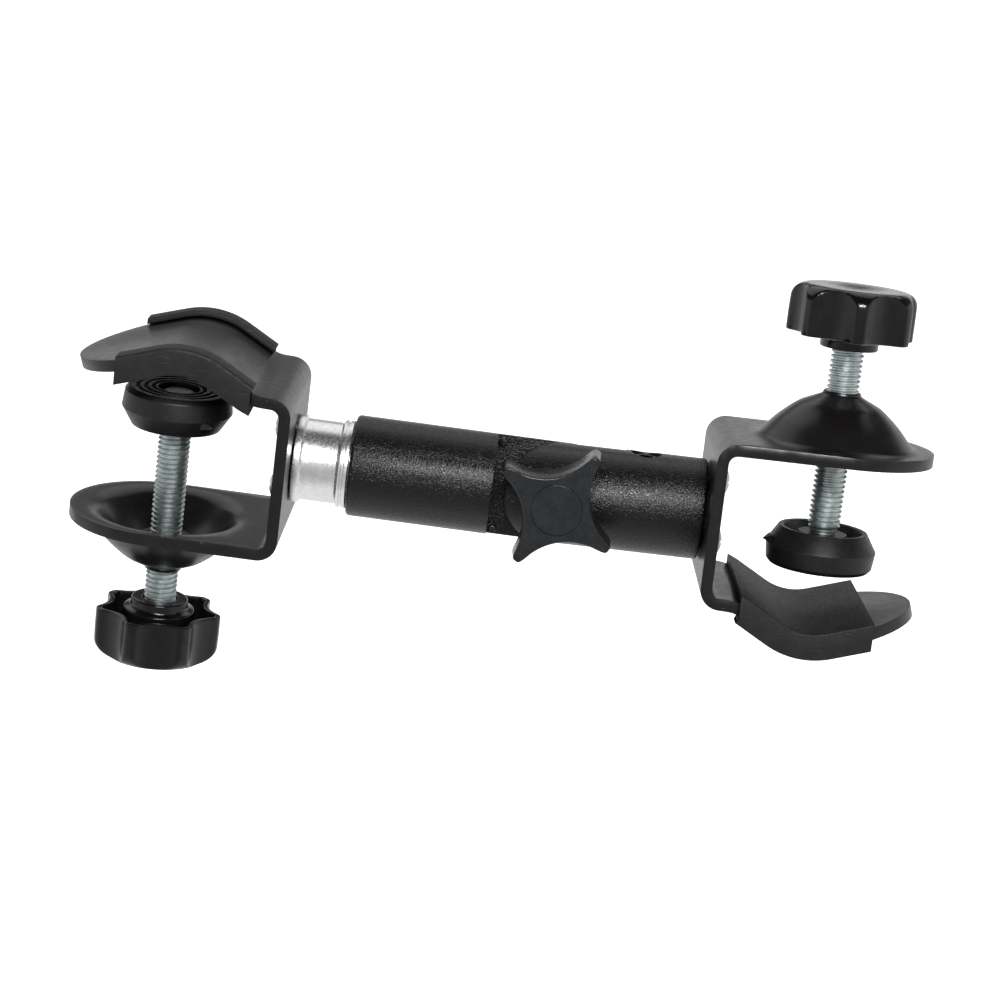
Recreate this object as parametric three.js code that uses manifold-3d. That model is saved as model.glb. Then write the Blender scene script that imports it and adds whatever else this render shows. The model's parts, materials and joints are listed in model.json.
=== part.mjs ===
// A double-ended clamp arm: two C-clamps joined by a short round arm with an elbow.
// Millimetres, +Z up. The arm stands on the left clamp's knob and the right clamp's jaw pad.
import * as THREE from 'three';
import { mergeVertices } from 'three/addons/utils/BufferGeometryUtils.js';
import Module from 'manifold-3d';

const wasm = await Module();
wasm.setup();

// ---- driving dimensions ---------------------------------------------------

const FIT_GAP = 0.3;            // between pieces that touch
const RUNNING_GAP = 0.07;       // radial, between a shaft and the bore it turns in
const SMOOTH = 28;              // sides of a round piece
const FINE = 36;                // sides of the largest round pieces
const COARSE = 16;              // sides of the smallest

// bracket: one bent steel strip. Its frame has +X out from the web, +Z towards the V-shaped arm
const STRIP_WIDTH = 45;
const STRIP_THICK = 2.8;
const DOMED_ARM_LEVEL = -20.5;  // outer face of the domed arm
const BEND_RADIUS = 3.6;        // at the middle of the strip's thickness
const SCREW_REACH = 30;         // from the web's outer face to the clamp screw
const ARM_END_CENTRE = 31.7;    // centre of the arms' half-round ends
const KNEE = [9.2, 18.7];       // where the V-shaped arm starts to rise
const CREST = [25.1, 27.7];     // the V's corner before it is rounded
const CREST_RADIUS = 17;
const TIP = [58, 17.1];         // end of the V-shaped arm before it is rounded off
const DOME_RADIUS = 20.5;
const DOME_HEIGHT = 11.3;

// jaw pad: a rubber channel hooked over the V-shaped arm
const PAD_SLAB = 1.8;
const PAD_LIP = 1.4;
const PAD_WALL = 1.5;
const PAD_LIP_WIDTH = 4.3;
const PAD_START = 9.8;
const PAD_END = 42.2;

// clamp screw, M8, and what is on it. Their frame has its origin at the foot's back rim, +Z to the jaw
const THREAD_RADIUS = 4;
const THREAD_LENGTH = 45;       // from the knob's collar to the foot's back rim
const PIN_RADIUS = 2.8;
const FOOT_RIM_RADIUS = 10.9;
const FOOT_RADIUS = 13.6;
const FOOT_FACE_RADIUS = 12.8;
const FOOT_HEIGHT = 9.6;
const KNOB_RADIUS = 15.8;
const KNOB_LOBES = 7;
const KNOB_SCALLOP = 2.8;
const KNOB_HEIGHT = 12.2;
const KNOB_SHOULDER = 4.5;
const COLLAR_RADIUS = 7.1;
const COLLAR_HEIGHT = 2.8;
const BUSH_RADIUS = 5.2;

// the arm: +X along it, to the right, with the elbow's pivot at the origin
const BARREL_RADIUS = 12.5;
const LEFT_WEB = -65.2;         // outer face of the left bracket's web
const LEFT_BARREL_END = -51;
const STEP = 16;                // from the pivot to the step of each half-lap
const RIGHT_BARREL_END = 36.1;
const RIGHT_WEB = 36.4;
const NECK_RADIUS = 10.1;
const FLANGE_RADIUS = 10.9;
const JOURNAL_RADIUS = 7.9;
const WEB_SCREW_PITCH = 15;     // between the two screws in each web
const SCREW_HOLE_RADIUS = 2.7;
const SET_SCREW_AT = 20.8;
const SET_SCREW_RADIUS = 3.6;
const GRUB_AT = -38.8;          // the small screw that keeps the neck spool in its barrel
const GRUB_RADIUS = 2.4;
const BOLT_RADIUS = 3;          // the elbow's bolt, M6
const BOLT_HEAD_RADIUS = 5.8;
const NUT_RADIUS = 5.6;
const WASHER_RADIUS = 6;
const ELBOW_KNOB_FRONT = -23.5;
const ELBOW_KNOB_BACK = -13.6;
const ELBOW_TIP_RADIUS = 16.1;
const ELBOW_DIP_RADIUS = 8.2;
const ELBOW_TIP_WIDTH = 2.6;
const ELBOW_LOBE_ANGLE = 59;
const CAP_RADIUS = 6.1;

// how it is posed at rest
const LEFT_FOOT_AT = 4.1;       // height of each foot's back rim in its bracket's frame
const RIGHT_FOOT_AT = 1.3;
const NECK_TURN = 5.4;          // the left clamp's turn about the arm, degrees
const ELBOW_BEND = -1.05;       // the right half's turn about the elbow, degrees
const LEFT_KNOB_TURN = 21.7;
const RIGHT_KNOB_TURN = 38.8;

// ---- finishes -------------------------------------------------------------

function finish(color, roughness, metalness) {
  return new THREE.MeshStandardMaterial({ color, roughness, metalness });
}


const blackPaint = finish(0x2a2a2c, 0.4, 0.1);
const grainedPaint = finish(0x1d1d1f, 0.55, 0.1);
const rubber = finish(0x3a3b3d, 0.85, 0);
const glossPlastic = finish(0x0c0c0d, 0.2, 0);
const satinPlastic = finish(0x26272a, 0.5, 0);
const zinc = finish(0xaeb6ba, 0.3, 1);
const aluminium = finish(0xd5d7da, 0.25, 1);

// ---- solids ---------------------------------------------------------------

function solid(geometry) {
  geometry.deleteAttribute('normal');
  geometry.deleteAttribute('uv');
  const merged = mergeVertices(geometry, 1e-4);
  const vertProperties = new Float32Array(merged.attributes.position.array);
  const triVerts = new Uint32Array(merged.index.array);
  return new wasm.Manifold(new wasm.Mesh({ numProp: 3, vertProperties, triVerts }));
}

function geometryOf(manifold) {
  const { vertProperties, triVerts } = manifold.getMesh();
  const geometry = new THREE.BufferGeometry();
  geometry.setAttribute('position', new THREE.BufferAttribute(vertProperties, 3));
  geometry.setIndex(new THREE.BufferAttribute(triVerts, 1));
  return geometry;
}

function piece(name, manifold, material) {
  const mesh = new THREE.Mesh(geometryOf(manifold), material);
  mesh.name = name;
  return mesh;
}

// a box from its lowest and highest corners
function box(low, high) {
  const size = high.map((value, i) => value - low[i]);
  const middle = high.map((value, i) => (value + low[i]) / 2);
  return solid(new THREE.BoxGeometry(...size).translate(...middle));
}

// a turned solid about Z, from [radius, height] points that start and end on the axis
function turned(points, sides = SMOOTH) {
  const profile = points.map(([radius, height]) => new THREE.Vector2(radius, height));
  return solid(new THREE.LatheGeometry(profile, sides).rotateX(Math.PI / 2));
}

function rod(radius, from, to, sides = SMOOTH) {
  return turned([[0, from], [radius, from], [radius, to], [0, to]], sides);
}

// the same solid with its Z axis laid along +X or -Y
const alongX = (manifold) => manifold.rotate([0, 90, 0]);
const alongMinusY = (manifold) => manifold.rotate([90, 0, 0]);

// an outline in X and Z, carried across Y
function across(points, width) {
  const shape = new THREE.Shape(points.map(([x, z]) => new THREE.Vector2(x, z)));
  const settings = { depth: width, bevelEnabled: false, curveSegments: 1 };
  const geometry = new THREE.ExtrudeGeometry(shape, settings);
  return solid(geometry.rotateX(Math.PI / 2).translate(0, width / 2, 0));
}

// an outline in X and Y, carried up Z
function upright(shape, from, to, curveSegments) {
  const settings = { depth: to - from, bevelEnabled: false, curveSegments };
  const geometry = new THREE.ExtrudeGeometry(shape, settings);
  return solid(geometry.translate(0, 0, from));
}

// a path through corners [x, z, radius], each rounded by an arc of its radius
function roundedPath(corners, arcSteps = 5) {
  const points = [corners[0].slice(0, 2)];
  for (let i = 1; i < corners.length - 1; i++) {
    const [x, z, radius] = corners[i];
    const corner = new THREE.Vector2(x, z);
    const back = new THREE.Vector2(...corners[i - 1]).sub(corner).normalize();
    const ahead = new THREE.Vector2(...corners[i + 1]).sub(corner).normalize();
    const half = Math.acos(back.dot(ahead)) / 2;
    const reach = radius / Math.sin(half);
    const centre = back.clone().add(ahead).normalize().multiplyScalar(reach).add(corner);
    const start = back.multiplyScalar(radius / Math.tan(half)).add(corner).sub(centre);
    const end = ahead.multiplyScalar(radius / Math.tan(half)).add(corner).sub(centre);
    const sweep = Math.atan2(start.cross(end), start.dot(end));
    for (let step = 0; step <= arcSteps; step++) {
      const spoke = start.clone().rotateAround(new THREE.Vector2(), (sweep * step) / arcSteps);
      points.push([centre.x + spoke.x, centre.y + spoke.y]);
    }
  }
  points.push(corners[corners.length - 1].slice(0, 2));
  return points;
}

// the band between two offsets of a path; a positive offset lies to the left of the way along it
function band(path, from, to) {
  const offset = (distance) => path.map(([x, z], i) => {
    const before = path[Math.max(i - 1, 0)];
    const after = path[Math.min(i + 1, path.length - 1)];
    const along = new THREE.Vector2(after[0] - before[0], after[1] - before[1]).normalize();
    return [x - along.y * distance, z + along.x * distance];
  });
  return offset(from).concat(offset(to).reverse());
}

// ---- bracket and jaw pad, in the bracket's frame --------------------------

const halfStrip = STRIP_THICK / 2;
const armMiddle = DOMED_ARM_LEVEL + halfStrip;

// the middle of the strip, from the tip of the V-shaped arm down to the end of the domed arm
const jawPath = roundedPath([TIP, [...CREST, CREST_RADIUS], [...KNEE, 8], [halfStrip, 18.4]]);
const stripPath = roundedPath([
  TIP,
  [...CREST, CREST_RADIUS],
  [...KNEE, 8],
  [halfStrip, 18.4, BEND_RADIUS],
  [halfStrip, armMiddle, BEND_RADIUS],
  [TIP[0], armMiddle],
]);

// half-round ends on both arms
function endRounding() {
  const radius = STRIP_WIDTH / 2;
  const plan = new THREE.Shape();
  plan.moveTo(-1, -radius);
  plan.lineTo(ARM_END_CENTRE, -radius);
  plan.absarc(ARM_END_CENTRE, 0, radius, -Math.PI / 2, Math.PI / 2, false);
  plan.lineTo(-1, radius);
  return upright(plan, -40, 40, 14);
}

// the dome's surface as [radius, height] points, down from its flat top to the arm
function domeCurve(steps = 6) {
  const curve = new THREE.SplineCurve([
    new THREE.Vector2(DOME_RADIUS, 0),
    new THREE.Vector2(18.2, 1.4),
    new THREE.Vector2(14.8, 5.2),
    new THREE.Vector2(10.6, 8.8),
    new THREE.Vector2(8, 10.2),
    new THREE.Vector2(5.6, DOME_HEIGHT),
  ]);
  return curve.getPoints(steps).map((point) => [point.x, point.y]);
}

// built with its height along +Z, then turned over to hang below the domed arm
function domePair() {
  const wall = 2.6;
  const curve = domeCurve();
  const seat = DOME_HEIGHT - wall - 1.1;
  const outside = turned([[0, -1], [DOME_RADIUS, -1], ...curve, [0, DOME_HEIGHT]]);
  const lower = curve.map(([radius, height]) => [radius, Math.min(height - STRIP_THICK, seat)]);
  const inside = turned([[0, -6], [DOME_RADIUS, -6], ...lower, [0, seat]]);
  const place = (manifold) => manifold.rotate([180, 0, 0]).translate([SCREW_REACH, 0, DOMED_ARM_LEVEL]);
  return [place(outside), place(inside), seat];
}

const [domeOutside, domeInside, domeSeat] = domePair();

function bracket() {
  const strip = across(band(stripPath, -halfStrip, halfStrip), STRIP_WIDTH).intersect(endRounding());
  const bushHole = rod(BUSH_RADIUS + FIT_GAP, -40, -22).translate([SCREW_REACH, 0, 0]);
  const screwHole = alongX(rod(SCREW_HOLE_RADIUS, -2, 6, COARSE));
  return strip
    .add(domeOutside)
    .subtract(domeInside)
    .subtract(bushHole)
    .subtract(screwHole.translate([0, 0, WEB_SCREW_PITCH / 2]))
    .subtract(screwHole.translate([0, 0, -WEB_SCREW_PITCH / 2]));
}

// flanged bush: the flange bears on the inside of the dome, the shank comes out through its top
function threadedBush() {
  const flange = domeSeat - FIT_GAP;
  const shank = DOME_HEIGHT + 1.3;
  const bore = THREAD_RADIUS + RUNNING_GAP + 0.02;
  const body = turned([
    [0, flange - 2], [7.4, flange - 2], [7.4, flange], [BUSH_RADIUS, flange],
    [BUSH_RADIUS, shank - 0.5], [BUSH_RADIUS - 0.5, shank], [0, shank],
  ]);
  return body.subtract(rod(bore, -10, 30)).rotate([180, 0, 0]).translate([SCREW_REACH, 0, DOMED_ARM_LEVEL]);
}

function jawPad() {
  const bare = halfStrip + FIT_GAP;
  const inner = STRIP_WIDTH / 2 + FIT_GAP;
  const outer = inner + PAD_WALL;
  const whole = across(band(jawPath, -bare - PAD_LIP, bare + PAD_SLAB), 2 * outer);
  const channel = across(band(jawPath, -bare, bare), 2 * inner);
  const opening = across(band(jawPath, -bare - 2 * PAD_LIP, 0), 2 * (inner - PAD_LIP_WIDTH));
  const length = box([PAD_START, -outer - 1, 0], [PAD_END, outer + 1, 40]);
  return whole.subtract(channel).subtract(opening).intersect(length);
}

// ---- clamp screw, knob, foot and washer, in the screw's frame -------------

function clampScrew() {
  const insideKnob = -THREAD_LENGTH - COLLAR_HEIGHT - KNOB_HEIGHT + 3;
  return turned([
    [0, insideKnob], [THREAD_RADIUS, insideKnob], [THREAD_RADIUS, 0.2], [THREAD_RADIUS - 0.5, 0.7],
    [PIN_RADIUS, 0.7], [PIN_RADIUS, 7.9], [4.2, 7.9], [4.2, 8.5], [3.6, 8.9], [0, 8.9],
  ]);
}

function footWasher() {
  return rod(6, 1, 2).subtract(rod(PIN_RADIUS + FIT_GAP, 0, 3));
}

function foot() {
  const cup = 9.6;
  const floor = 5.5;
  const recess = 7.4;
  return turned([
    [0, 2.4], [5.5, 2.4], [5.5, floor], [cup - 0.6, floor], [cup, 0], [FOOT_RIM_RADIUS, 0],
    [FOOT_RADIUS, 4.6], [FOOT_FACE_RADIUS + 0.3, 9], [FOOT_FACE_RADIUS - 0.4, FOOT_HEIGHT],
    [5.2, FOOT_HEIGHT], [5.2, recess], [0, recess],
  ]).subtract(rod(PIN_RADIUS + 0.5, 0, 12));
}

// a lobed outline: narrow ridges with a hollow scallop between each two
function lobedShape(ridge, scallop, turn) {
  const shape = new THREE.Shape();
  const pitch = (2 * Math.PI) / KNOB_LOBES;
  const halfRidge = 1.4 / ridge;
  const chord = new THREE.Vector2(ridge, 0).rotateAround(new THREE.Vector2(), pitch / 2 - halfRidge);
  const dip = ridge - scallop;
  const centre = (chord.lengthSq() - dip * dip) / (2 * (chord.x - dip));
  const radius = centre - dip;
  const half = Math.asin(chord.y / radius);
  for (let lobe = 0; lobe < KNOB_LOBES; lobe++) {
    const angle = turn + pitch * lobe;
    const hollow = angle + pitch / 2;
    shape.absarc(0, 0, ridge, angle - halfRidge, angle + halfRidge, false);
    const middle = [centre * Math.cos(hollow), centre * Math.sin(hollow)];
    shape.absarc(...middle, radius, hollow + Math.PI + half, hollow + Math.PI - half, true);
  }
  return shape;
}

function clampKnob(turnDegrees) {
  const turn = THREE.MathUtils.degToRad(turnDegrees);
  const rim = -THREAD_LENGTH - COLLAR_HEIGHT;
  const end = rim - KNOB_HEIGHT;
  const wall = 1.7;
  const floor = rim - 7;
  const shoulder = [];
  for (let step = 0; step <= 3; step++) {
    const angle = (step / 3) * (Math.PI / 2);
    shoulder.push([
      KNOB_RADIUS - KNOB_SHOULDER + KNOB_SHOULDER * Math.sin(angle),
      end + KNOB_SHOULDER - KNOB_SHOULDER * Math.cos(angle),
    ]);
  }
  const puck = turned([[0, end + 0.6], [KNOB_RADIUS - KNOB_SHOULDER - 2, end + 0.4], ...shoulder,
    [KNOB_RADIUS, rim], [0, rim]], 6 * KNOB_LOBES);
  const body = puck.intersect(upright(lobedShape(KNOB_RADIUS, KNOB_SCALLOP, turn), end - 1, rim + 1, 4));
  const recess = upright(lobedShape(KNOB_RADIUS - wall, KNOB_SCALLOP - 0.4, turn), floor, rim + 1, 4);
  const hub = turned([[0, floor - 1], [9, floor - 1], [9, rim + 0.4], [COLLAR_RADIUS, rim + 0.8],
    [COLLAR_RADIUS, rim + COLLAR_HEIGHT], [0, rim + COLLAR_HEIGHT]]);
  const socket = rod(THREAD_RADIUS + FIT_GAP, end + 2.6, rim + COLLAR_HEIGHT + 1);
  return body.subtract(recess).add(hub).subtract(socket);
}

// ---- the arm --------------------------------------------------------------

function neckSpool() {
  const start = LEFT_WEB + FIT_GAP;
  const journalEnd = -33;
  const body = alongX(turned([
    [0, start], [FLANGE_RADIUS, start], [FLANGE_RADIUS, start + 1.8], [NECK_RADIUS, start + 2.2],
    [NECK_RADIUS, -54.6], [FLANGE_RADIUS, -54.2], [FLANGE_RADIUS, -53.4], [NECK_RADIUS + 0.2, -53.4],
    [NECK_RADIUS + 0.2, -52.7], [FLANGE_RADIUS, -52.7], [FLANGE_RADIUS, LEFT_BARREL_END - FIT_GAP],
    [JOURNAL_RADIUS, LEFT_BARREL_END - FIT_GAP], [JOURNAL_RADIUS, -40.4], [6.6, -40.4],
    [6.6, -37.2], [JOURNAL_RADIUS, -37.2], [JOURNAL_RADIUS, journalEnd], [0, journalEnd],
  ]));
  const hole = alongX(rod(SCREW_HOLE_RADIUS, start - 1, start + 10, COARSE));
  return body
    .subtract(hole.translate([0, 0, WEB_SCREW_PITCH / 2]))
    .subtract(hole.translate([0, 0, -WEB_SCREW_PITCH / 2]));
}

// half of a half-lap: a barrel along +X from the pivot, whose lug keeps the +Y side
function lapBarrel(end) {
  const chamfer = 0.8;
  const bar = alongX(turned([[0, -BARREL_RADIUS - 1], [BARREL_RADIUS, -BARREL_RADIUS - 1],
    [BARREL_RADIUS, end - chamfer], [BARREL_RADIUS - chamfer, end], [0, end]], FINE));
  const size = 2 * BARREL_RADIUS;
  const square = box([0, -size, -size], [end + 1, size, size]);
  const roundEnd = alongMinusY(rod(BARREL_RADIUS, -size, size, FINE)).add(square);
  const lap = box([-size, -size, -size], [STEP, FIT_GAP / 2, size]);
  const nib = alongMinusY(turned([[0, -2], [1.7, -2], [1.7, 1.6], [1.2, 2], [0, 2]], COARSE));
  return bar
    .intersect(roundEnd)
    .subtract(lap)
    .add(nib.translate([14.1, 0.2, 10.6]))
    .add(nib.translate([14.1, 0.2, -10.6]));
}

function leftBarrel() {
  const barrel = lapBarrel(-LEFT_BARREL_END).rotate([0, 180, 0]);
  const bore = alongX(rod(JOURNAL_RADIUS + RUNNING_GAP, LEFT_BARREL_END - 1, -32));
  const grubHole = alongMinusY(rod(GRUB_RADIUS + FIT_GAP, -20, -6, COARSE)).translate([GRUB_AT, 0, 0]);
  const boltHole = alongMinusY(rod(BOLT_RADIUS + FIT_GAP, -20, 20));
  const hexPocket = alongMinusY(rod(BOLT_HEAD_RADIUS + FIT_GAP, -20, -7.5, 6));
  return barrel.subtract(bore).subtract(grubHole).subtract(boltHole).subtract(hexPocket);
}

function rightBarrel() {
  const barrel = lapBarrel(RIGHT_BARREL_END).rotate([180, 0, 0]);
  const boltHole = alongMinusY(rod(BOLT_RADIUS + RUNNING_GAP, -20, 20));
  const spotFace = alongMinusY(rod(WASHER_RADIUS + 1, 11.7, 20));
  const screwHole = alongX(rod(SCREW_HOLE_RADIUS, RIGHT_BARREL_END - 14, RIGHT_BARREL_END + 1, COARSE));
  const setScrewHole = rod(SET_SCREW_RADIUS + FIT_GAP, 4, 20).translate([SET_SCREW_AT, 0, 0]);
  return barrel
    .subtract(boltHole)
    .subtract(spotFace)
    .subtract(screwHole.translate([0, 0, WEB_SCREW_PITCH / 2]))
    .subtract(screwHole.translate([0, 0, -WEB_SCREW_PITCH / 2]))
    .subtract(setScrewHole);
}

// pan-head screw along +X with its head's underside at the web's inner face, in a bracket's frame
function webScrew(height) {
  const under = STRIP_THICK + FIT_GAP;
  const head = turned([[0, -8], [2.4, -8], [2.4, under], [4, under], [4, under + 1.3], [3.4, under + 2.2],
    [2.2, under + 2.6], [0, under + 2.6]], COARSE);
  const slot = box([-0.5, -2.2, under + 1.3], [0.5, 2.2, under + 4]);
  return alongX(head.subtract(slot).subtract(slot.rotate([0, 0, 90]))).translate([0, 0, height]);
}

// a headless screw from its point up to its socket
function socketScrew(radius, pointRadius, from, to) {
  const shoulder = from + 1.5;
  const socket = rod(radius * 0.55, to - 2, to + 1, 6);
  return turned([[0, from], [pointRadius, from], [pointRadius, shoulder - 0.3], [radius, shoulder],
    [radius, to - 0.4], [radius - 0.4, to], [0, to]], COARSE).subtract(socket);
}

function elbowBolt() {
  return alongMinusY(rod(BOLT_RADIUS, -11.6, 20).add(rod(BOLT_HEAD_RADIUS, -11.6, -7.8, 6)));
}

function elbowKnob() {
  const depth = -ELBOW_KNOB_FRONT;
  const shape = new THREE.Shape();
  const tip = Math.asin(ELBOW_TIP_WIDTH / 2 / ELBOW_TIP_RADIUS);
  const chord = new THREE.Vector2(ELBOW_TIP_RADIUS, 0).rotateAround(new THREE.Vector2(), Math.PI / 4 - tip);
  const centre = (chord.lengthSq() - ELBOW_DIP_RADIUS ** 2) / (2 * (chord.x - ELBOW_DIP_RADIUS));
  const radius = centre - ELBOW_DIP_RADIUS;
  const half = Math.asin(chord.y / radius);
  for (let lobe = 0; lobe < 4; lobe++) {
    const angle = THREE.MathUtils.degToRad(ELBOW_LOBE_ANGLE) + (lobe * Math.PI) / 2;
    const hollow = angle + Math.PI / 4;
    shape.absarc(0, 0, ELBOW_TIP_RADIUS, angle - tip, angle + tip, false);
    const middle = [centre * Math.cos(hollow), centre * Math.sin(hollow)];
    shape.absarc(...middle, radius, hollow + Math.PI + half, hollow + Math.PI - half, true);
  }
  const body = upright(shape, -ELBOW_KNOB_BACK, depth, 6);
  const capSeat = rod(CAP_RADIUS + FIT_GAP, depth - 2.9, depth + 1);
  const nutSeat = rod(NUT_RADIUS + 0.4, depth - 8, depth + 1, 6);
  const boltHole = rod(BOLT_RADIUS + FIT_GAP, 0, depth + 1);
  return alongMinusY(body.subtract(capSeat).subtract(nutSeat).subtract(boltHole));
}

function elbowNut() {
  const front = -ELBOW_KNOB_FRONT - 3.2;
  return alongMinusY(rod(NUT_RADIUS, front - 4.4, front, 6).subtract(rod(BOLT_RADIUS + FIT_GAP, 0, 30)));
}

function elbowWasher() {
  return alongMinusY(rod(WASHER_RADIUS, 12, 13.3).subtract(rod(BOLT_RADIUS + FIT_GAP, 0, 30)));
}

function knobCap() {
  const front = -ELBOW_KNOB_FRONT;
  return alongMinusY(turned([[0, front - 2.6], [CAP_RADIUS, front - 2.6], [CAP_RADIUS, front - 0.3],
    [CAP_RADIUS - 0.3, front], [0, front]]));
}

// ---- assembly -------------------------------------------------------------

const degrees = THREE.MathUtils.degToRad;

function group(...members) {
  const made = new THREE.Group();
  made.add(...members);
  return made;
}

// one whole clamp in its bracket's frame
function clamp(side, footAt, knobTurn) {
  const onScrew = group(
    piece(`${side}_clamp_screw`, clampScrew(), zinc),
    piece(`${side}_clamp_knob`, clampKnob(knobTurn), glossPlastic),
    piece(`${side}_foot_washer`, footWasher(), zinc),
    piece(`${side}_foot`, foot(), satinPlastic),
  );
  onScrew.position.set(SCREW_REACH, 0, footAt);
  return group(
    piece(`${side}_bracket`, bracket(), blackPaint),
    piece(`${side}_jaw_pad`, jawPad(), rubber),
    piece(`${side}_threaded_bush`, threadedBush(), blackPaint),
    piece(`${side}_web_screw_upper`, webScrew(WEB_SCREW_PITCH / 2), zinc),
    piece(`${side}_web_screw_lower`, webScrew(-WEB_SCREW_PITCH / 2), zinc),
    onScrew,
  );
}

const leftClamp = clamp('left', LEFT_FOOT_AT, LEFT_KNOB_TURN);
leftClamp.position.x = LEFT_WEB;
leftClamp.rotation.z = Math.PI;

const rightClamp = clamp('right', RIGHT_FOOT_AT, RIGHT_KNOB_TURN);
rightClamp.position.x = RIGHT_WEB;
rightClamp.rotation.x = Math.PI;

const neckHalf = group(leftClamp, piece('neck_spool', neckSpool(), aluminium));
neckHalf.rotation.x = degrees(NECK_TURN);

const neckGrub = alongMinusY(socketScrew(GRUB_RADIUS, 1.2, 6.9, 11.6).rotate([180, 0, 0]));
const middle = group(
  piece('left_barrel', leftBarrel(), grainedPaint),
  piece('neck_grub_screw', neckGrub.translate([GRUB_AT, 0, 0]), zinc),
  piece('elbow_bolt', elbowBolt(), zinc),
  piece('elbow_knob', elbowKnob(), satinPlastic),
  piece('elbow_nut', elbowNut(), zinc),
  piece('elbow_knob_cap', knobCap(), satinPlastic),
  piece('elbow_washer', elbowWasher(), zinc),
);

const setScrew = socketScrew(SET_SCREW_RADIUS, 2.6, 4.9, 11.5).translate([SET_SCREW_AT, 0, 0]);
const rightHalf = group(
  rightClamp,
  piece('right_barrel', rightBarrel(), grainedPaint),
  piece('set_screw', setScrew, zinc),
);
rightHalf.rotation.y = degrees(ELBOW_BEND);

const arm = group(neckHalf, middle, rightHalf);

// the lean at which the left knob and the right jaw pad stand at one height
function lowest(name) {
  arm.updateMatrixWorld(true);
  return new THREE.Box3().setFromObject(arm.getObjectByName(name), true).min.z;
}

function standingLean() {
  let [less, more] = [0, degrees(20)];
  for (let round = 0; round < 30; round++) {
    arm.rotation.y = (less + more) / 2;
    if (lowest('left_clamp_knob') < lowest('right_jaw_pad')) {
      less = arm.rotation.y;
    } else {
      more = arm.rotation.y;
    }
  }
  return arm.rotation.y;
}

arm.rotation.y = standingLean();
arm.updateMatrixWorld(true);
const bounds = new THREE.Box3().setFromObject(arm, true);
const base = bounds.getCenter(new THREE.Vector3());
arm.position.set(-base.x, -base.y, -bounds.min.z);

export default group(arm);
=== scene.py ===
"""A double-ended clamp arm: fine meshes, finishes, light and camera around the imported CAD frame.

Every piece is drawn in millimetres in its own frame, then placed in the row frame in metres.
"""
import json
import math

import bmesh
import bpy
import numpy as np
from mathutils import Matrix, Vector


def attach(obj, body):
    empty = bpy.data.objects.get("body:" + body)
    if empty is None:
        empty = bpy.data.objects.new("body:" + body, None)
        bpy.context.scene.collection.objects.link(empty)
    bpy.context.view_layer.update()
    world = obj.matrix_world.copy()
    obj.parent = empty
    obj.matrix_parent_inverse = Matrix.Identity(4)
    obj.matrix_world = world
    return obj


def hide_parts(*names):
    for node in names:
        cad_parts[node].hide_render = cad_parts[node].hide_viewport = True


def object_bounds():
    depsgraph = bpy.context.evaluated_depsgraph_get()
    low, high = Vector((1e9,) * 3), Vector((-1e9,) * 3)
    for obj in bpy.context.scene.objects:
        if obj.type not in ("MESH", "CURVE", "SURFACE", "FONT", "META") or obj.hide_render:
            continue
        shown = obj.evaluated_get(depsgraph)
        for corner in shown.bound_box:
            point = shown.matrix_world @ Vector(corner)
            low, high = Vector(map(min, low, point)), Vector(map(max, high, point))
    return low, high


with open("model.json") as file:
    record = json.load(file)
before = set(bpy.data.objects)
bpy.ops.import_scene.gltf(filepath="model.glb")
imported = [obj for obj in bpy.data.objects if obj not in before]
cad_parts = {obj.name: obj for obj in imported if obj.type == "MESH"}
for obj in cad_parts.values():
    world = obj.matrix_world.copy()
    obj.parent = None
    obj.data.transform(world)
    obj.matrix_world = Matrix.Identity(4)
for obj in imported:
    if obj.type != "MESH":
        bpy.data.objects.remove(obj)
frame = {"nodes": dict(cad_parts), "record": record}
cad_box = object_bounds()

# ---- driving dimensions, in millimetres ------------------------------------

MM = 0.001
FIT_GAP = 0.3

STRIP_WIDTH = 45.0
STRIP_THICK = 2.8
DOMED_ARM_LEVEL = -20.5
BEND_RADIUS = 3.6
SCREW_REACH = 30.0
ARM_END_CENTRE = 31.7
KNEE = (9.2, 18.7)
CREST = (25.1, 27.7)
CREST_RADIUS = 17.0
KNEE_RADIUS = 8.0
WEB_TOP = 18.4
TIP = (58.0, 17.1)
EDGE_RADIUS = 1.0
CHANNEL_DEPTH = 0.45
DOME_RADIUS = 20.5
DOME_HEIGHT = 11.3

PAD_SLAB = 1.8
PAD_LIP = 1.4
PAD_WALL = 1.5
PAD_LIP_WIDTH = 4.3
PAD_START = 9.8
PAD_END = 42.2

THREAD_RADIUS = 4.0
THREAD_PITCH = 1.25
THREAD_DEPTH = 0.62
THREAD_LENGTH = 45.0
PIN_RADIUS = 2.8
FOOT_RIM_RADIUS = 10.9
FOOT_RADIUS = 13.6
FOOT_FACE_RADIUS = 12.8
FOOT_HEIGHT = 9.6
KNOB_RADIUS = 15.8
KNOB_LOBES = 7
KNOB_SCALLOP = 2.8
KNOB_HEIGHT = 12.2
KNOB_SHOULDER = 4.5
KNOB_DISH = 0.9
KNOB_RIDGE_HALF_WIDTH = 1.4
COLLAR_RADIUS = 7.1
COLLAR_HEIGHT = 2.8

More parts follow.
